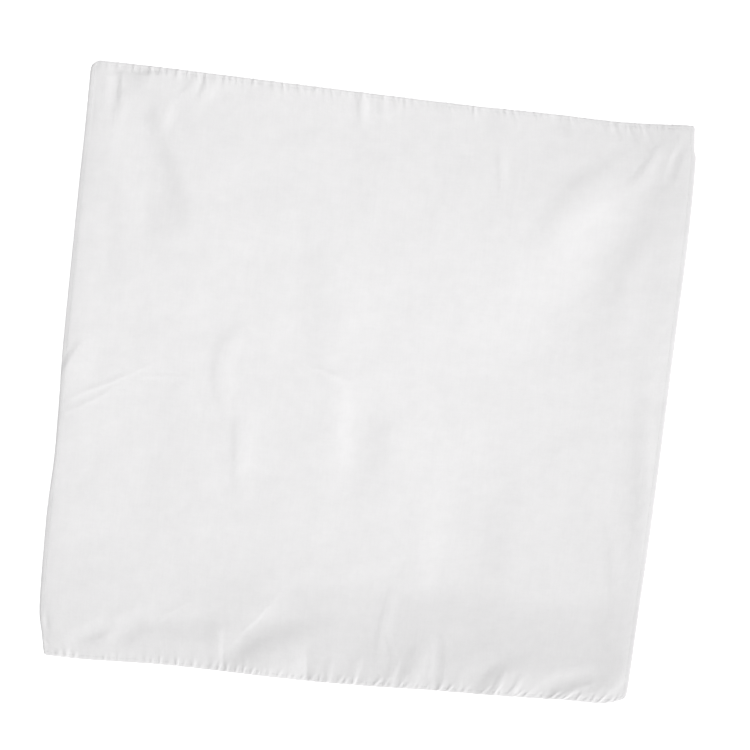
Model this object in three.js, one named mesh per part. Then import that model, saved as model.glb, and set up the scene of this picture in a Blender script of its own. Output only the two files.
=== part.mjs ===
// A square cotton bandana, opened out and laid flat on a table with its face up. Its four edges are
// turned under and sewn. The cloth is one closed sheet: an uneven outline, a slightly thicker hem band
// all round, and soft folds that stand up from the table between areas that lie flat on it.
// Millimetres, +Z up. X runs along the upper and lower hems, and the origin is at the middle of the
// outline's box, on the table.
import * as THREE from "three";
import { mergeVertices } from "three/addons/utils/BufferGeometryUtils.js";

const CLOTH_THICKNESS = 1.2;
const HEM_THICKNESS = 1.8;
const HEM_WIDTH = 9;
const CLOTH_SIDE = 575; // along the cloth from edge to edge, folds smoothed out
const ROUNDED_CORNER_RADIUS = 10;

// Spacing of the grid of faces, from an edge inwards: across the hem, then beside it, then the middle.
const HEM_CELLS = 3;
const MARGIN_WIDTH = 54;
const MARGIN_CELLS = 6;
const MIDDLE_CELLS = 32;

// The outline: four sides, each through the points where its line changes direction. The corners are
// shared. The lower right corner is cut slantwise, and the lower left side leans in to its corner.
const LOWER_LEFT = [-280.2, -282.8];
const LOWER_RIGHT = [272.6, -271];
const UPPER_RIGHT = [286.6, 276];
const UPPER_LEFT = [-289.7, 283.7];
const OUTLINE = {
  lower: [
    LOWER_LEFT, [-240, -283.5], [-170, -281.7], [-120, -282.3], [-40, -283.5],
    [20, -282.8], [80, -280.9], [160, -279.4], [215, -277.8], [252, -277.4], LOWER_RIGHT,
  ],
  upper: [
    UPPER_LEFT, [-230, 283], [-150, 280.8], [-60, 278.2], [40, 275.5],
    [90, 274.6], [150, 274.2], [210, 272.8], [250, 273.9], UPPER_RIGHT,
  ],
  left: [
    LOWER_LEFT, [-284, -262], [-288.4, -240], [-290, -190], [-290.2, -140],
    [-288.5, -95], [-289.2, -40], [-290.5, 20], [-290.3, 160], [-289.7, 220], UPPER_LEFT,
  ],
  right: [
    LOWER_RIGHT, [274.4, -255], [277.5, -200], [281.5, -120], [285, -20],
    [287.8, 80], [290.4, 160], [290.7, 238], [288.6, 252], UPPER_RIGHT,
  ],
};

// Each fold is a ridge along a curve, or a trough where its height is negative. Left and right say how
// far it reaches to either side of the curve as one walks along it, at its start and at its end. A short
// reach makes a steep side. A fold that runs out past an edge is still high at the hem.
const FOLDS = [
  // Broad swells that the others lie on
  {
    name: "corner swell", left: [50, 80], right: [50, 80], height: 0.3,
    along: [[330, 320], [236, 214], [190, 150], [150, 96]],
  },
  {
    name: "lower swell", left: [80, 130], right: [60, 60], height: 1.61,
    along: [[-460, -262], [-150, -274], [60, -280], [240, -278], [460, -268]],
  },
  {
    name: "lower right rise", left: [112, 122], right: [40, 40], height: 5.8,
    along: [[-120, -306], [60, -300], [200, -298], [440, -286]],
  },
  {
    name: "upper swell", left: [126, 130], right: [170, 200], height: 2.2,
    along: [[-80, 190], [60, 186], [180, 176], [440, 150]],
  },
  {
    name: "right rise", left: [30, 30], right: [130, 110], height: 2.2,
    along: [[328, 520], [329, 270], [330, 140], [330, -40]],
  },
  {
    name: "left rise", left: [120, 150], right: [30, 30], height: 2,
    along: [[-302, 240], [-302, 0], [-302, -240], [-302, -560]],
  },
  {
    name: "upper left swell", left: [62, 72], right: [62, 72], height: 2.2,
    along: [[-262, 400], [-236, 230], [-208, 130], [-184, -20]],
  },
  {
    name: "centre swell", left: [80, 80], right: [80, 80], height: 0.68,
    along: [[-20, 80], [-4, -40], [12, -160]],
  },
  {
    name: "lower left swell", left: [56, 56], right: [30, 30], height: 0.5,
    along: [[-180, -10], [-176, -100], [-170, -200]],
  },
  {
    name: "lower right trough", left: [60, 60], right: [44, 44], height: -1.1,
    along: [[92, -20], [104, -90], [102, -150], [92, -226]],
  },
  {
    name: "upper middle swell", left: [44, 44], right: [28, 28], height: 0.62,
    along: [[-58, 170], [-46, 95], [-30, 6]],
  },
  // Drawn towards the upper right corner
  {
    name: "corner trough", left: [10, 84], right: [8, 125], height: -1.5,
    along: [
      [262, 240], [250, 214], [234, 182], [222, 164], [209, 146],
      [198, 126], [188, 99], [180, 60], [174, -10],
    ],
  },
  {
    name: "upper corner fold", left: [14, 50], right: [8, 40], height: 0.62,
    along: [[252, 256], [230, 240], [200, 216], [184, 198], [172, 176], [162, 140], [156, 90]],
  },
  // In the upper left corner
  {
    name: "upper left trough", left: [14, 30], right: [30, 54], height: -1.6,
    along: [[-246, 256], [-233, 220], [-220, 191], [-210, 164], [-194, 114]],
  },
  {
    name: "left side fold", left: [24, 24], right: [16, 16], height: 0.2,
    along: [[-252, 190], [-245, 130], [-236, 70]],
  },
  // Along the lower hem, and where the sewing draws the cloth in
  {
    name: "lower left roll", left: [90, 90], right: [22, 28], height: -0.85,
    along: [[-196, -252], [-170, -242], [-146, -237], [-122, -235], [-88, -236]],
  },
  {
    name: "lower middle roll", left: [20, 26], right: [36, 36], height: 1.2,
    along: [[-124, -310], [-94, -281], [-66, -264], [-40, -252], [10, -236]],
  },
  {
    name: "hem gather two", left: [12, 12], right: [16, 16], height: -0.6,
    along: [[-32, -244], [-31.5, -264], [-28, -310]],
  },
  {
    name: "hem gather three", left: [14, 14], right: [11, 12], height: 0.42,
    along: [[73, -226], [73, -250], [65, -272], [55, -298]],
  },
  {
    name: "hem gather four", left: [11, 22], right: [26, 28], height: 0.6,
    along: [[126, -304], [146, -272], [162, -259], [180, -251], [206, -246]],
  },
  {
    name: "hem gather five", left: [12, 12], right: [7, 10], height: -0.48,
    along: [[180, -296], [198, -269], [214, -260], [236, -254], [262, -252]],
  },
  // Beside the hem on the right
  {
    name: "right hem roll", left: [12, 12], right: [14, 14], height: 0.31,
    along: [[262, 60], [268, -30], [274, -110], [268, -210]],
  },
];

const FOLD_STEPS = 16; // straight pieces that a fold's curve is measured on
const FADE = 1.5; // how suddenly a fold dies away at its two ends: lower is more sudden
const SETTLED = 0.75; // how much lower than its folds the cloth lies, so that its low parts rest flat

const middleWidth = CLOTH_SIDE - 2 * (HEM_WIDTH + MARGIN_WIDTH);

// Distances of the grid lines from one edge of the cloth, from 0 to the full side.
function gridLines() {
  const bands = [
    [HEM_WIDTH, HEM_CELLS],
    [MARGIN_WIDTH, MARGIN_CELLS],
    [middleWidth, MIDDLE_CELLS],
    [MARGIN_WIDTH, MARGIN_CELLS],
    [HEM_WIDTH, HEM_CELLS],
  ];
  const lines = [0];
  let start = 0;
  for (const [width, cells] of bands) {
    for (let cell = 1; cell <= cells; cell++) lines.push(start + (width * cell) / cells);
    start += width;
  }
  return lines;
}

function splineThrough(points) {
  return new THREE.SplineCurve(points.map(([x, y]) => new THREE.Vector2(x, y)));
}

const sides = Object.fromEntries(
  Object.entries(OUTLINE).map(([name, points]) => [name, splineThrough(points)])
);

// A share s across and t up the cloth, from 0 to 1, becomes a place on the table, blended from the
// four sides so that the grid follows the outline.
function placeOnTable(s, t) {
  const lower = sides.lower.getPointAt(s);
  const upper = sides.upper.getPointAt(s);
  const left = sides.left.getPointAt(t);
  const right = sides.right.getPointAt(t);
  const place = (axis, index) =>
    (1 - t) * lower[axis] + t * upper[axis] + (1 - s) * left[axis] + s * right[axis] -
    ((1 - s) * (1 - t) * LOWER_LEFT[index] + s * (1 - t) * LOWER_RIGHT[index] +
      (1 - s) * t * UPPER_LEFT[index] + s * t * UPPER_RIGHT[index]);
  return new THREE.Vector2(place("x", 0), place("y", 1));
}

// The upper left corner is a quarter circle: the square patch beside the corner is drawn in to it.
function roundUpperLeft(point) {
  const radius = ROUNDED_CORNER_RADIUS;
  const across = UPPER_LEFT[0] + radius - point.x;
  const up = point.y - (UPPER_LEFT[1] - radius);
  if (across > 0 && up > 0) {
    point.x = UPPER_LEFT[0] + radius - across * Math.sqrt(Math.max(0, 1 - up ** 2 / (2 * radius ** 2)));
    point.y = UPPER_LEFT[1] - radius + up * Math.sqrt(Math.max(0, 1 - across ** 2 / (2 * radius ** 2)));
  }
  return point;
}

const foldPaths = FOLDS.map((fold) => ({ ...fold, points: splineThrough(fold.along).getSpacedPoints(FOLD_STEPS) }));

// Height that one fold adds at a place: a smooth bump across its curve that fades towards both ends.
function heightOfFold(fold, place) {
  let nearest = Infinity;
  let share = 0;
  let side = 0;
  for (let i = 0; i < FOLD_STEPS; i++) {
    const start = fold.points[i];
    const step = fold.points[i + 1].clone().sub(start);
    const offset = place.clone().sub(start);
    const along = THREE.MathUtils.clamp(offset.dot(step) / step.lengthSq(), 0, 1);
    const distance = offset.clone().addScaledVector(step, -along).length();
    if (distance < nearest) {
      nearest = distance;
      share = (i + along) / FOLD_STEPS;
      side = step.cross(offset);
    }
  }
  const [reachAtStart, reachAtEnd] = side > 0 ? fold.left : fold.right;
  const across = nearest / THREE.MathUtils.lerp(reachAtStart, reachAtEnd, share);
  if (across >= 1) return 0;
  return fold.height * (1 - across ** 2) ** 2 * Math.sin(Math.PI * share) ** FADE;
}

function heightOffTable(place) {
  const height = foldPaths.reduce((sum, fold) => sum + heightOfFold(fold, place), -SETTLED);
  return Math.max(0, height);
}

// The hem is turned under, so its band is thicker, and it rounds off at the very edge.
function thicknessAt(distanceFromEdge) {
  const extra = HEM_THICKNESS - CLOTH_THICKNESS;
  if (distanceFromEdge <= 0) return CLOTH_THICKNESS - extra / 2;
  return CLOTH_THICKNESS + extra * THREE.MathUtils.smoothstep(HEM_WIDTH - distanceFromEdge, 0, HEM_WIDTH / 3);
}

// A flat box with a grid on its two large faces is bent into the cloth: each corner of the grid moves
// to its place on the table, the underside to the folds' height and the face above it.
function makeCloth() {
  const lines = gridLines();
  const cells = lines.length - 1;
  const geometry = new THREE.BoxGeometry(1, 1, 1, cells, cells, 1);
  geometry.deleteAttribute("normal");
  geometry.deleteAttribute("uv");
  const corners = geometry.attributes.position;
  for (let i = 0; i < corners.count; i++) {
    const across = lines[Math.round((corners.getX(i) + 0.5) * cells)];
    const up = lines[Math.round((corners.getY(i) + 0.5) * cells)];
    const place = roundUpperLeft(placeOnTable(across / CLOTH_SIDE, up / CLOTH_SIDE));
    const fromEdge = Math.min(across, CLOTH_SIDE - across, up, CLOTH_SIDE - up);
    const underside = heightOffTable(place);
    const isFace = corners.getZ(i) > 0;
    corners.setXYZ(i, place.x, place.y, underside + (isFace ? thicknessAt(fromEdge) : 0));
  }
  const closed = mergeVertices(geometry);
  closed.computeBoundingBox();
  const middle = closed.boundingBox.getCenter(new THREE.Vector3());
  closed.translate(-middle.x, -middle.y, -closed.boundingBox.min.z);
  closed.computeVertexNormals();
  return closed;
}

const whiteCotton = new THREE.MeshStandardMaterial({ color: 0xebeaeb, roughness: 0.9, metalness: 0 });

const cloth = new THREE.Mesh(makeCloth(), whiteCotton);
cloth.name = "cloth";

const bandana = new THREE.Group();
bandana.add(cloth);

export default bandana;
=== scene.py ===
# %% [markdown]
# # A white bandana, laid out flat
# The real thing is one square of thin plain-woven cotton. Its four edges are turned under and sewn. It
# lies open on a table with its face up, and soft folds are still in it from washing and sewing.
# The CAD model is the fixed frame: it says where the outline and the folds are. This script makes the
# cloth that is looked at, as one thin closed sheet with its hems, its puckers and its stitches.

# %% Load the frame
import math
from typing import NamedTuple

import bpy
import numpy as np
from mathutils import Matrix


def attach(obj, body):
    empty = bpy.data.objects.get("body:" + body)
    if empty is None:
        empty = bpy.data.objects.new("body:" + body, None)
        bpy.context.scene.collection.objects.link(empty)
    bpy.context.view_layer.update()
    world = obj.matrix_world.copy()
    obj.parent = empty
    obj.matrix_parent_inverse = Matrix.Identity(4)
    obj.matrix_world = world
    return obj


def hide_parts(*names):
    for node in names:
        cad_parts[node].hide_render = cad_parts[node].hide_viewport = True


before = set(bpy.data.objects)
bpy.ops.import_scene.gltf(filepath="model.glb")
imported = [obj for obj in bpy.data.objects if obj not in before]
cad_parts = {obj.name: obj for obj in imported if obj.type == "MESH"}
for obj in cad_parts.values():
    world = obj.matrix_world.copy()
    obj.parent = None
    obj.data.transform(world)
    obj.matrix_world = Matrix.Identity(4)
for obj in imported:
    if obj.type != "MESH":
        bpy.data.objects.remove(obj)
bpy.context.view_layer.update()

MM = 0.001  # sizes below are in millimetres, and Blender's are in metres

# %% [markdown]
# ## The camera
# The cloth is seen from straight above. It is turned a few degrees in the picture, and turning the
# camera instead keeps the cloth square to the frame. A long lens from above keeps the edges parallel.

# %% The camera
PICTURE_WIDTH = 713.0  # what the picture shows from side to side, at the height of the cloth
PICTURE_MIDDLE = (6.8, 11.4)  # the point of the table that is in the middle of the picture
PICTURE_TURN = 5.5  # degrees
LENS = 85.0
SENSOR = 36.0

bpy.ops.object.select_all(action="DESELECT")
bpy.ops.object.camera_add(
    location=(PICTURE_MIDDLE[0] * MM, PICTURE_MIDDLE[1] * MM, PICTURE_WIDTH * LENS / SENSOR * MM),
    rotation=(0, 0, math.radians(PICTURE_TURN)),
)
camera = bpy.context.object
camera.data.lens = LENS
camera.data.sensor_width = SENSOR
bpy.context.scene.camera = camera
print("camera height, mm:", round(camera.location.z / MM))

# %% [markdown]
# ## The outline
# Cotton that has been washed and sewn is never a true square. Each side is one smooth curve through the
# points where its line changes direction, as in the CAD model. The flat cloth is measured by how far a
# point is across it and up it, and a blend of the four sides turns those two into a place on the table.

# %% The outline
CLOTH_SIDE = 575.0  # along the cloth from edge to edge, folds smoothed out
LOWER_LEFT = (-280.2, -282.8)
LOWER_RIGHT = (272.6, -271.0)
UPPER_RIGHT = (286.6, 276.0)
UPPER_LEFT = (-289.7, 283.7)
OUTLINE = {
    "lower": [
        LOWER_LEFT, (-240, -283.5), (-170, -281.7), (-120, -282.3), (-40, -283.5),
        (20, -282.8), (80, -280.9), (160, -279.4), (215, -277.8), (252, -277.4), LOWER_RIGHT,
    ],
    "upper": [
        UPPER_LEFT, (-230, 283), (-150, 280.8), (-60, 278.2), (40, 275.5),
        (90, 274.6), (150, 274.2), (210, 272.8), (250, 273.9), UPPER_RIGHT,
    ],
    "left": [
        LOWER_LEFT, (-284, -262), (-288.4, -240), (-290, -190), (-290.2, -140),
        (-288.5, -95), (-289.2, -40), (-290.5, 20), (-290.3, 160), (-289.7, 220), UPPER_LEFT,
    ],
    "right": [
        LOWER_RIGHT, (274.4, -255), (277.5, -200), (281.5, -120), (285, -20),
        (287.8, 80), (290.4, 160), (290.7, 238), (288.6, 252), UPPER_RIGHT,
    ],
}
SPLINE_STEPS = 24  # straight pieces between two points of a curve


def curve_through(points):
    """A smooth curve through the points, and how far along it each of its own points is, from 0 to 1."""
    ends = np.array([points[0], *points, points[-1]], float)
    before, start, end, after = (ends[i : len(points) - 1 + i, None] for i in range(4))
    t = np.linspace(0, 1, SPLINE_STEPS, endpoint=False)[None, :, None]
    spans = 0.5 * (
        2 * start
        + (end - before) * t
        + (2 * before - 5 * start + 4 * end - after) * t**2
        + (3 * start - before - 3 * end + after) * t**3
    )
    line = np.vstack([spans.reshape(-1, 2), ends[-1:]])
    length = np.concatenate([[0], np.hypot(*np.diff(line, axis=0).T).cumsum()])
    return line, length / length[-1]


def along_curve(curve, shares):
    """The points of a curve at these shares of its length."""
    line, share = curve
    return np.column_stack([np.interp(shares, share, line[:, 0]), np.interp(shares, share, line[:, 1])])


sides = {name: curve_through(points) for name, points in OUTLINE.items()}
print("sides, points each:", {name: len(line) for name, (line, share) in sides.items()})

# %% [markdown]
# ## Corners
# A turned and sewn corner is never sharp. The upper left one is clearly round, and the others are
# rounded only by the thickness of the folded hems. The square patch beside a corner is drawn in to a
# quarter circle, so that the grid of the cloth follows it.

# %% Corners and places on the table
CORNER_RADIUS = {UPPER_LEFT: 10.0, UPPER_RIGHT: 3.0, LOWER_LEFT: 2.5, LOWER_RIGHT: 2.5}


def round_corner(places, corner, radius):
    """Draws the points in the square patch beside a corner in to a quarter circle."""
    outward = np.sign(corner)
    inner = np.array(corner) - outward * radius
    over = (places - inner) * outward  # how far past the start of the rounding, on both axes
    inside = (over > 0).all(axis=1)
    far = over[inside]
    far = far * np.sqrt(np.maximum(0, 1 - far[:, ::-1] ** 2 / (2 * radius**2)))
    places[inside] = inner + far * outward


def place_on_table(across, up):
    """The place on the table of each point of the flat cloth, in millimetres."""
    s, t = across / CLOTH_SIDE, up / CLOTH_SIDE
    lower, upper = along_curve(sides["lower"], s), along_curve(sides["upper"], s)
    left, right = along_curve(sides["left"], t), along_curve(sides["right"], t)
    s, t = s[:, None], t[:, None]
    places = (1 - t) * lower + t * upper + (1 - s) * left + s * right
    places -= (1 - s) * (1 - t) * np.array(LOWER_LEFT) + s * (1 - t) * np.array(LOWER_RIGHT)
    places -= (1 - s) * t * np.array(UPPER_LEFT) + s * t * np.array(UPPER_RIGHT)
    for corner, radius in CORNER_RADIUS.items():
        round_corner(places, corner, radius)
    return places


cloth_middle = place_on_table(*np.full((2, 1), CLOTH_SIDE / 2))
print("middle of the cloth, mm:", cloth_middle[0].round(1))

# %% [markdown]
# ## Folds
# A fold is a ridge along a curve. It has a height at its crest and a reach to each side, which may
# widen from its start to its end, and it dies away at both ends. A short reach makes a steep side, and
# a low crest number makes a sharp crest. A height below zero makes a trough. The main folds are those of
# the CAD model, with a few narrow ones among them that its coarser sheet can't hold. The creases are
# smaller still, and only the finer sheet has them.


# %% The main folds
class Fold(NamedTuple):
    """A ridge along a curve. Left and right, as one walks along it, are its reach at its start and end."""

    name: str
    along: list
    left: tuple
    right: tuple
    height: float
    crest: float = 2.0


MAIN_FOLDS = [
    # Broad swells that the others lie on
    Fold("corner swell", [(330, 320), (236, 214), (190, 150), (150, 96)], (50, 80), (50, 80), 0.3),
    Fold(
        "lower swell", [(-460, -262), (-150, -274), (60, -280), (240, -278), (460, -268)],
        (80, 130), (60, 60), 1.61,
    ),
    Fold(
        "lower right rise", [(-120, -306), (60, -300), (200, -298), (440, -286)],
        (112, 122), (40, 40), 5.8,
    ),
    Fold("upper swell", [(-80, 190), (60, 186), (180, 176), (440, 150)], (126, 130), (170, 200), 2.2),
    Fold("right rise", [(328, 520), (329, 270), (330, 140), (330, -40)], (30, 30), (130, 110), 2.2),
    Fold("left rise", [(-302, 240), (-302, 0), (-302, -240), (-302, -560)], (120, 150), (30, 30), 2.0),
    Fold("upper left swell", [(-226, 330), (-216, 220), (-204, 130), (-184, 0)], (60, 80), (60, 80), 0.56),
    Fold("centre swell", [(-20, 80), (-4, -40), (12, -160)], (80, 80), (80, 80), 0.68),
    Fold("lower left swell", [(-180, -10), (-176, -100), (-170, -200)], (56, 56), (30, 30), 0.5),
    Fold("lower right trough", [(92, -20), (104, -90), (102, -150), (92, -226)], (60, 60), (44, 44), -1.1),
    Fold("upper middle swell", [(-58, 170), (-46, 95), (-30, 6)], (44, 44), (28, 28), 0.62),
    # Drawn towards the upper right corner
    Fold(
        "corner trough",
        [
            (262, 240), (250, 214), (234, 182), (222, 164), (209, 146),
            (198, 126), (188, 99), (180, 60), (174, -10),
        ],
        (10, 84), (8, 125), -1.5,
    ),
    Fold(
        "corner crease", [(262, 264), (250, 243), (244, 230), (237, 219), (222, 202)],
        (9, 18), (5, 10), 0.36, 1.6,
    ),
    Fold(
        "upper corner fold",
        [(252, 256), (230, 240), (200, 216), (184, 198), (172, 176), (162, 140), (156, 90)],
        (14, 50), (8, 40), 0.62,
    ),
    Fold("corner side fold", [(281, 264), (274, 250), (270, 237), (265, 212)], (6, 8), (6, 7), -0.28),
    # In the upper left corner
    Fold(
        "upper left trough", [(-246, 256), (-233, 220), (-220, 191), (-210, 164), (-194, 114)],
        (14, 30), (30, 54), -1.6,
    ),
    Fold(
        "upper left hem fold", [(-282, 268), (-262, 271), (-243, 272), (-222, 275), (-200, 282)],
        (6, 6), (44, 44), 0.56,
    ),
    Fold("left side fold", [(-252, 190), (-245, 130), (-236, 70)], (24, 24), (16, 16), 0.2),
    Fold(
        "left edge roll", [(-285, 430), (-285, 100), (-285, -120), (-285, -420)],
        (50, 90), (5, 4.5), 0.35,
    ),
    # Along the lower hem, and where the sewing draws the cloth in
    Fold(
        "lower left roll", [(-196, -252), (-170, -242), (-146, -237), (-122, -235), (-88, -236)],
        (90, 90), (22, 28), -0.85, 1.2,
    ),
    Fold(
        "lower middle roll", [(-124, -310), (-94, -281), (-66, -264), (-40, -252), (10, -236)],
        (20, 26), (36, 36), 1.2,
    ),
    Fold("lower valley", [(-118, -284), (-94, -250), (-70, -232), (-24, -218)], (22, 26), (16, 20), -0.56),
    Fold("hem gather one", [(82, -214), (91, -238), (92, -260), (88, -296)], (8, 8), (8, 8), -0.32),
    Fold("hem gather two", [(-32, -244), (-31.5, -264), (-28, -310)], (12, 12), (16, 16), -0.6, 1.1),
    Fold("hem gather three", [(73, -226), (73, -250), (65, -272), (55, -298)], (14, 14), (11, 12), 0.42),
    Fold(
        "hem gather four", [(126, -304), (146, -272), (162, -259), (180, -251), (206, -246)],
        (11, 22), (26, 28), 0.6,
    ),
    Fold(
        "hem gather five", [(180, -296), (198, -269), (214, -260), (236, -254), (262, -252)],
        (12, 12), (7, 10), -0.48,
    ),
    # Beside the hem on the right
    Fold("right hem roll", [(262, 60), (268, -30), (274, -110), (268, -210)], (12, 12), (14, 14), 0.31),
]
print(len(MAIN_FOLDS), "main folds, up to", max(fold.height for fold in MAIN_FOLDS), "mm high")

# %% The creases
CREASES = [
    # The left edge: a tuck, and two creases that run in from it
    Fold(
        "left tuck", [(-294, -30), (-288, -15), (-282, -1), (-276, 11), (-271, 22)],
        (6, 6), (28, 28), 0.48, 1.6,
    ),
    Fold(
        "left crease", [(-296, -60), (-269, -44.5), (-251, -33.5), (-222, -10)],
        (4.5, 4), (4.5, 3.5), 0.11, 1.6,
    ),
    Fold(
        "left crease above", [(-296, -48), (-266, -31), (-240, -18), (-190, 10)],
        (5, 4), (4.5, 3.5), 0.15, 1.6,
    ),
    Fold("left crease tail", [(-230, -13), (-196, -9), (-154, -7)], (4, 4), (4, 4), 0.09, 1.6),
    # The middle
    Fold(
        "arc crease", [(-106, 48), (-125, 40), (-137, 24), (-141, 4), (-137, -20), (-118, -58)],
        (19, 17), (10, 10), 0.38,
    ),
    Fold("middle dent", [(-121, -20), (-116, -66), (-113, -120)], (18, 18), (8, 8), 0.42),
    Fold("centre trough", [(-12, 20), (-3, -45), (8, -120)], (34, 34), (24, 24), -1.2),
    Fold("short dash", [(-60, 17), (-38, 9), (-14, 1)], (4, 4), (5, 5), 0.29),
    Fold("upper right crease", [(104, 252), (107, 216), (112, 182)], (9, 9), (5, 5), 0.21),
    Fold("low crease", [(44, -176), (37, -222), (33, -272)], (12, 12), (5, 6), 0.22),
    Fold("low dash", [(40, -226), (44, -238), (53, -258)], (6, 6), (3.5, 3.5), 0.14),
    Fold(
        "rising crease", [(-110, -264), (-93, -241), (-83, -230), (-60, -200)],
        (16, 16), (3.5, 3.5), 0.2, 1.5,
    ),
    Fold("lower left crease", [(-176, -241), (-156, -225), (-135, -212)], (4, 4), (4, 4), 0.08, 1.5),
    # Along the upper hem
    Fold("left seam", [(-283.5, 300), (-283.5, 244), (-283.5, 190)], (2, 2), (2, 2), -0.07),
    Fold("upper left dent", [(-266, 286), (-264, 262), (-263, 236)], (6, 6), (10, 10), -0.5),
    Fold("upper left ridge", [(-254, 262), (-258, 238), (-261, 212)], (8, 8), (9, 9), 0.19),
    Fold("upper left spot", [(-214, 262), (-216, 238), (-219, 212)], (12, 12), (18, 18), 0.45),
    Fold("upper left pucker", [(-172, 292), (-177, 273), (-185, 252)], (14, 14), (6.5, 6.5), 0.44),
    Fold("upper left pucker two", [(-186, 290), (-192, 270), (-202, 256)], (10, 10), (6, 6), 0.25),
    Fold("strong pucker", [(-34, 290), (-29.5, 264), (-27, 240)], (8, 8), (7, 7), 0.48),
    Fold("strong pucker two", [(-14, 290), (-11, 266), (-6, 248)], (8, 8), (6, 6), 0.29),
    Fold("upper diagonal", [(148, 286), (158, 268), (174, 254)], (8, 8), (8, 8), -0.65, 1.5),
    Fold("pucker by the corner", [(191, 284), (199, 269), (206, 256)], (4, 4), (4, 4), -0.22),
    Fold("pucker by the corner two", [(202, 284), (210, 268), (219, 253)], (4.5, 4.5), (4.5, 4.5), -0.38),
    Fold("pucker by the corner three", [(214, 284), (224, 268), (235, 253)], (4.5, 4.5), (4.5, 4.5), -0.42),
    Fold("pucker by the corner four", [(232, 284), (241, 267), (249, 254)], (4, 4), (4, 4), -0.22),
    Fold("upper band", [(78, 282), (94, 265), (108, 253)], (7, 7), (7, 7), -0.33),
    # At the lower left
    Fold("comma", [(-258, -270), (-241, -261), (-229, -254), (-216, -240)], (13, 13), (9, 9), -0.45),
    Fold(
        "second comma", [(-226, -272), (-206, -254), (-190, -243), (-172, -234)],
        (17, 17), (15, 15), -0.55,
    ),
    Fold("hem ridge", [(-119, -226), (-117, -256), (-115, -300)], (6, 6), (14, 14), 0.28),
    Fold("lower left corner", [(-284, -262), (-277, -273), (-262, -281)], (3, 3), (3, 3), -0.31),
    Fold("lower left spot", [(-283, -239), (-281, -250), (-278, -262)], (4, 4), (3, 3), -0.22),
    # At the lower right
    Fold(
        "light by gather four", [(120, -298), (131, -268), (144, -252), (160, -240)],
        (20, 20), (8, 10), -0.25,
    ),
    Fold("hem bump", [(8, -294), (15, -268), (20, -248)], (10, 10), (6, 6), 0.25),
    Fold("hem bump two", [(46, -294), (51, -267), (55, -250)], (9, 9), (5, 5), 0.24),
    Fold("hem bump three", [(-14, -294), (-10, -270), (-8, -256)], (6, 6), (5, 5), 0.22),
    Fold("hem tick", [(142, -290), (151, -268), (158, -252)], (5, 5), (5, 5), 0.38),
    Fold("hem tick two", [(160, -290), (168, -269), (176, -254)], (5, 5), (5, 5), 0.33),
    Fold("hem line", [(198, -284), (220, -269), (246, -257)], (4, 4), (5, 5), 0.29),
    Fold("hem line two", [(212, -284), (232, -271), (254, -260)], (4, 4), (4, 4), 0.22),
    Fold("lower right streak", [(240, -96), (249, -146), (258, -204)], (14, 14), (7, 7), 0.22),
    Fold(
        "lower right corner roll", [(214, -284), (243, -270), (257, -261), (265, -246), (268, -216)],
        (30, 26), (13, 9), 0.56,
    ),
]
print(len(CREASES), "creases")

# %% [markdown]
# ## The height of the folds
# All folds are added up at a point. The sheet can't sink into the table, so a soft limit lifts what
# would go under it. Between the folds a real cloth is never quite flat either: broad, low ripples stand
# for the slack in it. They come from a seeded draw, so that each run gives the same cloth.

# %% The height of the folds
FADE = 1.5  # how suddenly a fold dies away at its ends: lower is more sudden
SLACK = 0.9  # how far the cloth lies above the table on average, where no fold lifts it
SOFT_LIMIT = 0.2  # how softly the table stops the cloth: higher is softer
RIPPLES = 28
RIPPLE_HEIGHT = 0.02  # of a ripple of the usual length, and a longer one is higher
RIPPLE_LENGTH = 60.0
RIPPLE_LENGTHS = (26.0, 90.0)


def fold_reach(places, fold):
    """The points near a fold, how far each is across it (1 is its reach) and along it, from 0 to 1."""
    line, share = curve_through(fold.along)
    reach = max(fold.left + fold.right)
    near = np.flatnonzero(((places > line.min(0) - reach) & (places < line.max(0) + reach)).all(axis=1))
    nearest = np.full(len(near), np.inf)
    across = np.ones(len(near))
    along = np.zeros(len(near))
    for start, end, share_start, share_end in zip(line, line[1:], share, share[1:]):
        step = end - start
        offset = places[near] - start
        on_step = np.clip(offset @ step / (step @ step), 0, 1)
        gap = offset - on_step[:, None] * step
        distance = np.hypot(gap[:, 0], gap[:, 1])
        here = share_start + on_step * (share_end - share_start)
        is_left = step[0] * gap[:, 1] > step[1] * gap[:, 0]
        wide = np.where(is_left, np.interp(here, (0, 1), fold.left), np.interp(here, (0, 1), fold.right))
        closer = distance < nearest
        nearest[closer] = distance[closer]
        across[closer] = (distance / wide)[closer]
        along[closer] = here[closer]
    return near, across, along


def height_of_folds(places, folds):
    """All folds added up at each point."""
    height = np.zeros(len(places))
    for fold in folds:
        near, across, along = fold_reach(places, fold)
        bump = np.maximum(0, 1 - across**fold.crest) ** 2
        height[near] += fold.height * bump * np.sin(np.pi * along) ** FADE
    return height


chance = np.random.default_rng(11)
ripple_turn = chance.uniform(0, math.pi, RIPPLES)
ripple_length = chance.uniform(*RIPPLE_LENGTHS, RIPPLES)
ripple_start = chance.uniform(0, 2 * math.pi, RIPPLES)


def height_of_ripples(places):
    height = np.zeros(len(places))
    for turn, length, start in zip(ripple_turn, ripple_length, ripple_start):
        along = places @ (math.cos(turn), math.sin(turn))
        height += RIPPLE_HEIGHT * np.sin(2 * math.pi * along / length + start) * (length / RIPPLE_LENGTH)
    return height


def height_off_table(places):
    height = SLACK + height_of_ripples(places) + height_of_folds(places, MAIN_FOLDS + CREASES)
    return 0.5 * (height + np.sqrt(height**2 + SOFT_LIMIT**2))


print("height in the middle, mm:", height_off_table(cloth_middle)[0].round(2))

# %% [markdown]
# ## Hems
# Each edge is turned under twice and sewn, so a hem is three layers thick. The top layer is the cloth
# itself: it lies high over the hem and sinks to the table beside it. Underneath, the turned layers end
# in a step. The upper and lower hems are narrow, and the side hems are wider. Where two hems cross, their
# layers add up. The seam pulls a fine groove.

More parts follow.
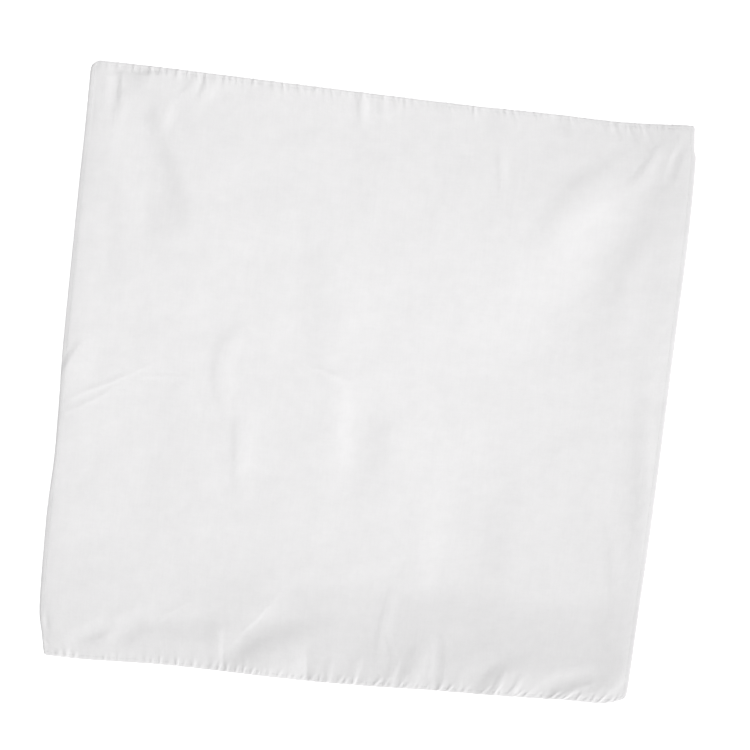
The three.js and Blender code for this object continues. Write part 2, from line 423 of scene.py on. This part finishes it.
# %% Hems
CLOTH_THICKNESS = 0.45
HEM_LAYERS = 0.4  # what the two turned layers add under the cloth


class Hem(NamedTuple):
    """The sizes of a hem. Width and seam are measured in from the edge."""

    width: float
    seam: float
    sink: float  # over how far the cloth sinks to the table beside the hem
    nose: float  # how far in from the edge the hem rounds off
    drop: float  # how much of its thickness the face loses at the edge


SIDE_HEM = Hem(width=9.0, seam=4.3, sink=30.0, nose=1.8, drop=0.2)
END_HEM = Hem(width=5.6, seam=3.6, sink=44.0, nose=2.0, drop=0.04)
SEAM_DEPTH = 0.05
SEAM_WIDTH = 0.7  # how far the groove of the seam reaches to each side


def ease(value):
    """From 0 to 1 with a soft start and a soft end."""
    value = np.clip(value, 0, 1)
    return value * value * (3 - 2 * value)


def hem_lift(from_edge, hem):
    """What a hem adds under the cloth, and how far the underside is off the table beside it."""
    lift = HEM_LAYERS * ease(1 - (from_edge - hem.width) / hem.sink)
    return lift, np.where(from_edge > hem.width, lift, 0)


def rounding(from_edge, hem):
    """How much of its thickness the hem loses towards its edge."""
    return hem.drop * np.maximum(0, 1 - from_edge / hem.nose) ** 2


def seam_groove(from_edge, hem):
    return SEAM_DEPTH * np.exp(-(((from_edge - hem.seam) / SEAM_WIDTH) ** 2))


print("hem thickness, mm:", round(CLOTH_THICKNESS + HEM_LAYERS, 2))

# %% [markdown]
# ## Gathers
# The thread of the upper and lower hems was drawn tight, so the cloth is gathered between its
# stitches: a fine slanting wave right at the edge, a little stronger here and there. Every few
# millimetres one of these waves runs on into the cloth as a pucker. Both are seeded draws.

# %% Gathers
GATHER_PITCH = 2.3  # as the stitches
GATHER_DEPTH = 0.03
GATHER_SLANT = 0.7  # how far a wave moves sideways for each millimetre from the edge
GATHER_REACH = 5.0
GATHER_STRENGTH = (0.1, 1.2)  # the waves are weaker and stronger by turns, within these limits
GATHER_TURNS = (17.0, 6.1, 9.7)  # how slowly their strength changes, in two ways, and their pitch
PUCKER_SPACING = (5.0, 10.0)
PUCKER_LENGTH = (8.0, 18.0)
PUCKER_WIDTH = (2.4, 5.0)  # on each side, at its middle
PUCKER_HEIGHT = (0.08, 0.34)
PUCKER_SLANT = (0.1, 1.0)
SLANT_GROWTH = 1.3  # the puckers slant more and more towards the right
PUCKER_RISE = 2.5  # a pucker has its full height this far from the edge


def draw_puckers(chance):
    """Rows of start, length, width, height and slant, from one corner to the other."""
    rows = []
    start = chance.uniform(*PUCKER_SPACING)
    while start < CLOTH_SIDE:
        limits = (PUCKER_LENGTH, PUCKER_WIDTH, PUCKER_HEIGHT, PUCKER_SLANT)
        length, width, high, slant = (chance.uniform(*pair) for pair in limits)
        slant *= SLANT_GROWTH * start / CLOTH_SIDE
        rows.append((start, length, width, high, slant))
        start += chance.uniform(*PUCKER_SPACING)
    return rows


puckers = {"lower": draw_puckers(chance), "upper": draw_puckers(chance)}
gather_starts = dict(zip(puckers, chance.uniform(0, 2 * math.pi, (2, 3))))


def gather_height(across, from_end, edge):
    """Waves and puckers beside the lower or the upper hem."""
    height = np.zeros(len(across))
    near = np.flatnonzero(from_end < PUCKER_LENGTH[1] * 1.2)
    along, inward = across[near], from_end[near]
    turns = zip(GATHER_TURNS, gather_starts[edge])
    slow, quick, drift = (np.sin(along / turn + start) for turn, start in turns)
    strength = np.clip(0.55 + 0.3 * slow + 0.3 * quick, *GATHER_STRENGTH)
    phase = 2 * math.pi * (along - GATHER_SLANT * inward) / GATHER_PITCH + 1.3 * drift
    height[near] = GATHER_DEPTH * strength * np.sin(phase) * ease(1 - inward / GATHER_REACH)
    for start, length, width, high, slant in puckers[edge]:
        aside = (along - start - slant * inward) / (width * (0.6 + 0.8 * inward / length))
        bump = np.maximum(0, 1 - aside**2) ** 2
        height[near] += high * bump * ease(inward / PUCKER_RISE + 0.3) * ease(1.3 - 1.3 * inward / length)
    return height


print("puckers:", {edge: len(rows) for edge, rows in puckers.items()})

# %% [markdown]
# ## The two faces of the sheet
# Everything above meets here. For points of the flat cloth this gives their places on the table and
# the heights of the underside and of the face. The cloth and the stitches both use it, so a stitch
# always lies on the hem, whatever the folds under it do.

# %% The two faces of the sheet
EDGE_WAVE = 0.12  # how far the gathers draw the upper and lower edges in and out
NOSE_LIFT = 0.2  # the share of the rounding that is on the underside
LEAST_THICKNESS = 0.15


def faces_of_sheet(across, up):
    """Places on the table, and the heights of the underside and the face."""
    places = place_on_table(across, up)
    from_side = np.minimum(across, CLOTH_SIDE - across)
    from_end = np.minimum(up, CLOTH_SIDE - up)
    is_lower = up < CLOTH_SIDE / 2
    gathers = np.where(
        is_lower, gather_height(across, from_end, "lower"), gather_height(across, from_end, "upper")
    )
    gathers *= ease((from_side - 2) / 8)  # the corners have none
    side_lift, side_gap = hem_lift(from_side, SIDE_HEM)
    end_lift, end_gap = hem_lift(from_end, END_HEM)
    ground = height_off_table(places)
    thick = CLOTH_THICKNESS + side_lift + end_lift
    nose = np.maximum(rounding(from_side, SIDE_HEM), rounding(from_end, END_HEM))
    groove = seam_groove(from_side, SIDE_HEM) + seam_groove(from_end, END_HEM)
    underside = ground + np.minimum(side_gap + end_gap, thick - CLOTH_THICKNESS) + NOSE_LIFT * nose * thick
    underside += 0.5 * np.minimum(groove, SEAM_DEPTH)
    face = ground + thick - nose * thick - groove + gathers
    places[:, 1] += EDGE_WAVE / GATHER_DEPTH * gathers * ease(1 - from_end / GATHER_PITCH)
    return places, underside, np.maximum(face, underside + LEAST_THICKNESS)


print("faces in the middle, mm:", *(v.round(2) for v in faces_of_sheet(*np.full((2, 1), CLOTH_SIDE / 2))[1:]))

# %% [markdown]
# ## The sheet
# A flat grid is added, its lines are moved close together at the hems, and it is extruded to a thin
# closed sheet. Cuts go only where the cloth needs them: lengthwise in the gathered hems, once over the
# face, and again wherever a narrow fold passes. Then every corner is moved from the flat cloth to its
# place. The flat coordinates stay on the mesh as an attribute, and the weave follows them.

# %% Tools for the sheet
MIDDLE_SPACING = 8.0
EVEN_FROM = 19.0  # from an edge to where the even spacing starts
FLAT_THICKNESS = 1.0  # of the flat sheet, before its corners are moved to their heights


def hem_lines(hem):
    """Distances of the grid lines from an edge, out to where the even spacing starts."""
    between_seam_and_step = 2 if hem is END_HEM else 4
    return [
        0, 0.3, 0.8, 1.6, 2.5, hem.seam - 0.6, hem.seam, hem.seam + 0.6,
        *np.linspace(hem.seam + 1.2, hem.width - 0.1, between_seam_and_step),
        hem.width + 0.2, hem.width + 1.5, hem.width + 3, hem.width + 5, EVEN_FROM,
    ]


def grid_lines(hem):
    """The grid lines from one edge to the other."""
    near = np.array(hem_lines(hem))
    cells = round((CLOTH_SIDE - 2 * EVEN_FROM) / MIDDLE_SPACING)
    inner = np.linspace(EVEN_FROM, CLOTH_SIDE - EVEN_FROM, cells + 1)
    return np.concatenate([near, inner[1:-1], CLOTH_SIDE - near[::-1]])


def corners_of(obj):
    """The places of a mesh's corners, in millimetres."""
    numbers = np.empty(len(obj.data.vertices) * 3)
    obj.data.vertices.foreach_get("co", numbers)
    return numbers.reshape(-1, 3) / MM


def move_corners(obj, places):
    """Moves a mesh's corners to these places, in millimetres."""
    obj.data.vertices.foreach_set("co", (places * MM).ravel())
    obj.data.update()


def carry_flat_places(obj, name, flat):
    """Keeps where each corner is on the flat piece, for the materials to read."""
    attribute = obj.data.attributes.new(name, "FLOAT_VECTOR", "POINT")
    attribute.data.foreach_set("vector", (flat * MM).ravel())


def cut_edges(obj, rule, cuts):
    """Cuts the edges that the rule chooses by their two ends, and leaves no corner unjoined."""
    mesh = obj.data
    ends = np.empty(len(mesh.edges) * 2, int)
    mesh.edges.foreach_get("vertices", ends)
    corners = corners_of(obj)
    first, second = corners[ends[0::2]], corners[ends[1::2]]
    bpy.context.tool_settings.mesh_select_mode = (False, True, False)
    mesh.vertices.foreach_set("select", np.zeros(len(mesh.vertices), bool))
    mesh.polygons.foreach_set("select", np.zeros(len(mesh.polygons), bool))
    mesh.edges.foreach_set("select", rule(first, second))
    bpy.ops.object.mode_set(mode="EDIT")
    bpy.ops.mesh.subdivide(number_cuts=cuts, ngon=False)
    bpy.ops.object.mode_set(mode="OBJECT")


def triangles_of(obj):
    corner_counts = np.empty(len(obj.data.polygons), int)
    obj.data.polygons.foreach_get("loop_total", corner_counts)
    return int((corner_counts - 2).sum())


across_lines, up_lines = grid_lines(SIDE_HEM), grid_lines(END_HEM)
print("grid lines:", len(across_lines), "across,", len(up_lines), "up")

# %% The flat sheet
bpy.ops.mesh.primitive_grid_add(
    x_subdivisions=len(across_lines) - 1, y_subdivisions=len(up_lines) - 1, size=CLOTH_SIDE * MM
)
bandana = bpy.context.object
bandana.name = "bandana_cloth"
corners = corners_of(bandana)
for axis, lines in enumerate((across_lines, up_lines)):
    share = corners[:, axis] / CLOTH_SIDE + 0.5
    corners[:, axis] = lines[np.rint(share * (len(lines) - 1)).astype(int)]
move_corners(bandana, corners)
bpy.ops.object.mode_set(mode="EDIT")
bpy.ops.mesh.select_all(action="SELECT")
bpy.ops.mesh.extrude_region_move(TRANSFORM_OT_translate={"value": (0, 0, FLAT_THICKNESS * MM)})
bpy.ops.mesh.select_all(action="SELECT")
bpy.ops.mesh.normals_make_consistent(inside=False)
bpy.ops.object.mode_set(mode="OBJECT")
print("flat sheet:", triangles_of(bandana), "triangles")

# %% Finer cells where the cloth needs them
SAME = 0.01  # two ends of an edge are level when they differ by less than this
LONGWAYS, UPRIGHT = 0, 1  # the direction of the lower and upper hems, and that of the side hems
HEM_CUTS = [
    # direction, how far from the cloth's edge, edges longer than, cuts in each
    (LONGWAYS, 20, 3, 3),
    (LONGWAYS, 7.2, 1.5, 3),
    (UPRIGHT, 16, 3, 1),
]
NARROW, NARROWEST = 13, 7  # a fold that reaches less far than this, on one side, needs finer cells
BROAD = 35  # a fold that reaches further than this, on one side, needs none
FOLD_MARGIN = 1.15  # how far beside a fold its finer cells go, as a share of its reach


def from_nearest_edge(places, axis):
    return np.minimum(places[:, axis], CLOTH_SIDE - places[:, axis])


def is_on_face(first, second):
    return (first[:, 2] > FLAT_THICKNESS / 2) & (second[:, 2] > FLAT_THICKNESS / 2)


def along_hem(axis, depth, longer_than):
    """A rule for the long edges that run along a hem, on the face or at the rim."""

    def rule(first, second):
        inward = from_nearest_edge(first, 1 - axis)
        level = abs(first[:, 1 - axis] - second[:, 1 - axis]) < SAME
        long = abs(first[:, axis] - second[:, axis]) > longer_than
        return level & long & (inward < depth) & (is_on_face(first, second) | (inward < SAME))

    return rule


def over_face(first, second):
    """A rule for all edges on the face that are away from the hems."""
    chosen = is_on_face(first, second)
    for ends in (first, second):
        for axis in (LONGWAYS, UPRIGHT):
            chosen &= from_nearest_edge(ends, axis) > EVEN_FROM - 1
    return chosen


def near_folds(folds, longer_than):
    """A rule for the long edges on the face where a fold passes."""

    def rule(first, second):
        halfway = (first + second) / 2
        long = np.hypot(*(first - second)[:, :2].T) > longer_than
        asked = np.flatnonzero(is_on_face(first, second) & long)
        places = place_on_table(halfway[asked, 0], halfway[asked, 1])
        found = np.zeros(len(asked), bool)
        for fold in folds:
            near, across, along = fold_reach(places, fold)
            found[near[(across < FOLD_MARGIN) & (along > 0) & (along < 1)]] = True
        chosen = np.zeros(len(first), bool)
        chosen[asked[found]] = True
        return chosen

    return rule


small = [fold for fold in MAIN_FOLDS + CREASES if max(fold.left + fold.right) < BROAD]
narrow = [fold for fold in small if min(fold.left + fold.right) < NARROW]
narrowest = [fold for fold in narrow if min(fold.left + fold.right) < NARROWEST]
for axis, depth, longer_than, cuts in HEM_CUTS:
    cut_edges(bandana, along_hem(axis, depth, longer_than), cuts)
cut_edges(bandana, over_face, 1)
cut_edges(bandana, near_folds(narrow, longer_than=2.6), 1)
cut_edges(bandana, near_folds(narrowest, longer_than=1.5), 1)
print("finer sheet:", triangles_of(bandana), "triangles")

# %% Lay the sheet on the table
flat_corners = corners_of(bandana)
layer = flat_corners[:, 2:] / FLAT_THICKNESS
places, underside, face = faces_of_sheet(flat_corners[:, 0], flat_corners[:, 1])
heights = underside[:, None] * (1 - layer) + face[:, None] * layer
flat_corners[:, 2] *= -1  # the face and the underside read different parts of a pattern
carry_flat_places(bandana, "cloth_flat", flat_corners)
centre = (places.min(0) + places.max(0)) / 2
move_corners(bandana, np.hstack([places - centre, heights]))
bpy.ops.object.shade_smooth()
print("laid out, mm:", (bandana.dimensions / MM)[:], "moved by", centre.round(2))

# %% [markdown]
# ## Stitches
# The seam is a row of short machine stitches in white thread, and they show on both faces of the hem. One
# stitch is modelled: a thin bar whose ends dip into the cloth. An array repeats it along a hem, and the
# row is then laid on the sheet in the same way as the cloth.

# %% One row of stitches
THREAD = 0.34  # its thickness
STITCH_GAP = 0.5
STITCH_DIP = 0.16  # how far its two ends go down into the cloth
STITCH_TAPER = 0.85  # how much of its section it loses at its ends


def stitch_row(name, pitch, count):
    """A flat row of stitches along X, starting at zero."""
    length = pitch - STITCH_GAP
    bpy.ops.object.select_all(action="DESELECT")
    bpy.ops.mesh.primitive_cylinder_add(
        vertices=6, radius=THREAD / 2 * MM, depth=length * MM, end_fill_type="TRIFAN",
        rotation=(0, math.radians(90), 0), location=(pitch / 2 * MM, 0, 0),
    )
    row = bpy.context.object
    row.name = name
    bpy.ops.object.transform_apply(location=True, rotation=True)
    cut_edges(row, lambda first, second: abs(first[:, 0] - second[:, 0]) > length / 2, 3)
    corners = corners_of(row)
    along = (corners[:, 0] - pitch / 2) / (length / 2)
    thinner = np.sqrt(1 - STITCH_TAPER * along**4)
    corners[:, 1] *= thinner
    corners[:, 2] = corners[:, 2] * thinner - STITCH_DIP * along**4
    move_corners(row, corners)
    repeat = row.modifiers.new("repeat", "ARRAY")
    repeat.use_relative_offset = False
    repeat.use_constant_offset = True
    repeat.constant_offset_displace = (pitch * MM, 0, 0)
    repeat.count = count
    bpy.ops.object.modifier_apply(modifier=repeat.name)
    return row


print("one stitch, mm:", round(GATHER_PITCH - STITCH_GAP, 2), "long and", THREAD, "thick")

# %% Seams on both faces
SIDE_STITCH = 2.6  # the pitch of the stitches in the side hems
SEAM_ENDS = 2.5  # the seam starts and ends this far from the corner
THREAD_SINK = 0.16  # how far the drawn thread lies in the cloth


def seam(name, hem, pitch, far, upright, on_face):
    """A row of stitches along one hem, laid on one face of the sheet."""
    count = int((CLOTH_SIDE - 2 * SEAM_ENDS) / pitch)
    row = stitch_row(name, pitch, count)
    corners = corners_of(row)
    along = corners[:, 0] + SEAM_ENDS + (0 if on_face else pitch / 2 - STITCH_GAP / 2)
    inward = np.full(len(along), CLOTH_SIDE - hem.seam if far else hem.seam)
    aside = corners[:, 1]
    across, up = (inward, along) if upright else (along, inward)
    places, underside, face = faces_of_sheet(across, up)
    places[:, 0 if upright else 1] += aside
    lift = corners[:, 2] - THREAD_SINK
    height = face + lift + THREAD / 2 if on_face else underside - lift - THREAD / 2
    flat = np.column_stack([along, aside, corners[:, 2]])
    carry_flat_places(row, "thread_flat", flat)
    move_corners(row, np.column_stack([places - centre, height]))
    return row


HEM_RUNS = [
    # name, hem, pitch, at the far edge, upright
    ("lower", END_HEM, GATHER_PITCH, False, False),
    ("upper", END_HEM, GATHER_PITCH, True, False),
    ("left", SIDE_HEM, SIDE_STITCH, False, True),
    ("right", SIDE_HEM, SIDE_STITCH, True, True),
]
threads = []
for face_name, on_face in (("face", True), ("underside", False)):
    rows = [seam(f"{face_name}_{name}", *run, on_face) for name, *run in HEM_RUNS]
    bpy.ops.object.select_all(action="DESELECT")
    for row in rows:
        row.select_set(True)
    bpy.context.view_layer.objects.active = rows[0]
    bpy.ops.object.join()
    thread = bpy.context.object
    thread.name = f"hem_stitches_{face_name}"
    bpy.ops.object.mode_set(mode="EDIT")
    bpy.ops.mesh.select_all(action="SELECT")
    bpy.ops.mesh.normals_make_consistent(inside=False)
    bpy.ops.object.mode_set(mode="OBJECT")
    bpy.ops.object.shade_smooth()
    threads.append(thread)
print("stitches:", {thread.name: triangles_of(thread) for thread in threads})

# %% [markdown]
# ## A way to write materials
# A material is a small net of nodes. This class wraps one socket of it, so that sums are written as
# plain Python and become Math nodes, and one method adds any other node.


# %% A way to write materials
class Wire:
    """One socket of a material."""

    def __init__(self, tree, socket=None):
        self.tree = tree
        self.socket = socket

    def node(self, kind, settings, sockets, output=0):
        """Adds a node with these settings, then fills or links its sockets. Returns one of its outputs."""
        made = self.tree.nodes.new(f"ShaderNode{kind}")
        for name, value in settings.items():
            setattr(made, name, value)
        for name, value in sockets.items():
            if isinstance(value, Wire):
                self.tree.links.new(value.socket, made.inputs[name])
            else:
                made.inputs[name].default_value = value
        return Wire(self.tree, made.outputs[output] if made.outputs else None)

    def math(self, operation, *values):
        return self.node("Math", {"operation": operation}, dict(enumerate(values)))

    def __add__(self, other):
        return self.math("ADD", self, other)

    def __sub__(self, other):
        return self.math("SUBTRACT", self, other)

    def __rsub__(self, other):
        return self.math("SUBTRACT", other, self)

    def __mul__(self, other):
        return self.math("MULTIPLY", self, other)

    __radd__ = __add__
    __rmul__ = __mul__

    def sine(self):
        return self.math("SINE", self)

    def across_and_up(self):
        """The first two parts of a vector."""
        first = self.node("SeparateXYZ", {}, {0: self}, "X")
        return first, Wire(self.tree, first.socket.node.outputs["Y"])


def new_material(name):
    material = bpy.data.materials.new(name)
    material.use_nodes = True
    material.node_tree.nodes.clear()
    return material, Wire(material.node_tree)


def flat_place(wire, attribute):
    """The place on the flat piece, in millimetres, which the piece's mesh carries as an attribute."""
    place = wire.node("Attribute", {"attribute_name": attribute}, {}, "Vector")
    return wire.node("VectorMath", {"operation": "SCALE"}, {0: place, "Scale": 1 / MM})


def noise(vector, size, detail=2.0, rough=0.5):
    """A cloudy pattern around zero, with patches of about this size in millimetres."""
    sockets = {"Vector": vector, "Scale": 1 / size, "Detail": detail, "Roughness": rough}
    return vector.node("TexNoise", {}, sockets) - 0.5


def between(share, dark, light):
    """A colour between two others, which a Mix node has at sockets 6 and 7. Its result is output 2."""
    return share.node("Mix", {"data_type": "RGBA"}, {0: share, 6: dark, 7: light}, 2)


print("materials read places in units of", MM, "m")

# %% [markdown]
# ## White cotton
# Up close the cotton is a plain weave of fine, slightly uneven yarns. From a step away the yarns run
# together, and what is left is a faint mottle, with streaks along both directions of the weave where a
# yarn is thicker or thinner. All patterns follow the flat cloth, so they bend with its folds.

# %% White cotton
YARN_PITCH = 0.42
ALONG_WARP = (1, 0.06, 1)  # a pattern is squeezed by these shares, so its patches are streaks
ALONG_WEFT = (0.1, 1, 1)
COTTON_LIGHT = (0.83, 0.824, 0.828, 1)
COTTON_DARK = (0.745, 0.739, 0.744, 1)

cotton, wire = new_material("white_cotton")
cloth_place = flat_place(wire, "cloth_flat")
streaks = [
    noise(wire.node("VectorMath", {"operation": "MULTIPLY"}, {0: cloth_place, 1: squeeze}), 1.6, 3, 0.6)
    for squeeze in (ALONG_WARP, ALONG_WEFT)
]
streaks = streaks[0] + streaks[1] * 0.7
clouds = noise(cloth_place, 55) * 0.25 + noise(cloth_place, 13, 3, 0.65)
flecks = noise(cloth_place, 2.0, 3, 0.7)
sway = noise(cloth_place, 5) * 0.6
warp, weft = ((part + sway) * (math.pi / YARN_PITCH) for part in cloth_place.across_and_up())
over_under = warp.sine() * weft.sine()
yarns = over_under.math("ABSOLUTE", over_under) + over_under * 0.25
# The weave term (yarns * 0.1) makes the cotton lighter on the yarns and darker in the gaps between them:
# painted shade in the hollows of the weave.
tone = 0.55 + clouds * 0.75 + streaks * 0.4 + flecks * 0.35 + yarns * 0.1
colour = between(tone, COTTON_DARK, COTTON_LIGHT)
crumple = noise(cloth_place, 9, 4, 0.6) * 0.5 + streaks * 0.05
soft_bump = wire.node("Bump", {}, {"Strength": 1.0, "Distance": 0.35 * MM, "Height": crumple})
weave_bump = wire.node(
    "Bump", {}, {"Strength": 1.0, "Distance": 0.02 * MM, "Height": yarns, "Normal": soft_bump}
)
surface = wire.node(
    "BsdfPrincipled",
    {},
    {
        "Base Color": colour,
        "Roughness": 0.9 + flecks * 0.1,
        "Normal": weave_bump,
        "Specular IOR Level": 0.25,
        "Sheen Weight": 0.1,
        "Sheen Roughness": 0.5,
    },
)
wire.node("OutputMaterial", {}, {"Surface": surface})
bandana.data.materials.append(cotton)
print("white cotton:", len(cotton.node_tree.nodes), "nodes")

# %% [markdown]
# ## Sewing thread
# The thread is spun from two strands, so it has a slanting twist and a little more shine than the cloth.

# %% Sewing thread
TWIST_PITCH = 0.5
TWIST_SLANT = 1.5

thread_white, wire = new_material("sewing_thread")
thread_place = flat_place(wire, "thread_flat")
along_thread, aside = thread_place.across_and_up()
twist = ((along_thread + aside * TWIST_SLANT) * (2 * math.pi / TWIST_PITCH)).sine()
colour = between(0.6 + twist * 0.3 + noise(thread_place, 3), COTTON_DARK, COTTON_LIGHT)
bump = wire.node("Bump", {}, {"Strength": 1.0, "Distance": 0.03 * MM, "Height": twist})
surface = wire.node(
    "BsdfPrincipled",
    {},
    {"Base Color": colour, "Roughness": 0.7 + twist * 0.05, "Normal": bump, "Specular IOR Level": 0.35},
)
wire.node("OutputMaterial", {}, {"Surface": surface})
for thread in threads:
    thread.data.materials.append(thread_white)
print("sewing thread:", len(thread_white.node_tree.nodes), "nodes")

# %% [markdown]
# ## The floor
# A plain white surface under the cloth. It glows a little, so that it stays white right up to the hem.

# %% The floor
FLOOR_RADIUS = 40.0  # metres, so that no edge of it shows from a low angle

bpy.ops.mesh.primitive_circle_add(vertices=96, radius=FLOOR_RADIUS, fill_type="NGON", location=(0, 0, 0))
floor = bpy.context.object
floor.name = "floor"
floor_white, wire = new_material("floor_white")
surface = wire.node(
    "BsdfPrincipled",
    {},
    {
        "Base Color": (0.92, 0.92, 0.92, 1),
        "Roughness": 0.95,
        "Specular IOR Level": 0.0,
        "Emission Color": (1, 1, 1, 1),
        "Emission Strength": 0.55,
    },
)
wire.node("OutputMaterial", {}, {"Surface": surface})
floor.data.materials.append(floor_white)
print("floor radius, m:", FLOOR_RADIUS)

# %% [markdown]
# ## Light
# A large soft light stands low and far off, beyond the lower right corner, and brings out the relief: a
# side of a fold that faces it is light, and the other side is dark. A second one hangs above the middle,
# so the cloth is lightest there and darker towards its edges. An even white sky fills the shadows.

# %% Light
SKY = 0.21  # the strength of the even light from all round


def soft_light(name, around, above, distance, size, power, aim=(0, 0)):
    """
    A square light, placed by its direction from the point that it is aimed at. Angles are in degrees, the
    distance and the size in metres, and the aim in millimetres.
    """
    around, above = math.radians(around), math.radians(above)
    towards = (math.cos(around) * math.cos(above), math.sin(around) * math.cos(above), math.sin(above))
    aimed_at = (aim[0] * MM, aim[1] * MM, 0)
    bpy.ops.object.light_add(
        type="AREA",
        location=[start + distance * part for start, part in zip(aimed_at, towards)],
        rotation=(math.pi / 2 - above, 0, around + math.pi / 2),
    )
    lamp = bpy.context.object
    lamp.name = name
    lamp.data.energy = power
    lamp.data.size = size
    lamp.visible_camera = False
    return lamp


lamps = [
    soft_light("low_light", around=322, above=18, distance=12.0, size=4.4, power=2050),
    soft_light("top_light", around=90, above=89.5, distance=1.0, size=0.5, power=4.9, aim=(-50, 84)),
]
world = bpy.data.worlds.new("sky")
bpy.context.scene.world = world
world.use_nodes = True
world.node_tree.nodes["Background"].inputs["Color"].default_value = (1, 1, 1, 1)
world.node_tree.nodes["Background"].inputs["Strength"].default_value = SKY
bpy.context.scene.view_settings.view_transform = "Standard"
print("lights:", {lamp.name: [round(part, 2) for part in lamp.location] for lamp in lamps})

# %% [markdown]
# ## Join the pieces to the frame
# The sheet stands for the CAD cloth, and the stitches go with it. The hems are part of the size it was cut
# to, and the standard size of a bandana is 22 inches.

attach(bandana, "root")
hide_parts("cloth")
for thread in threads:
    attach(thread, "root")
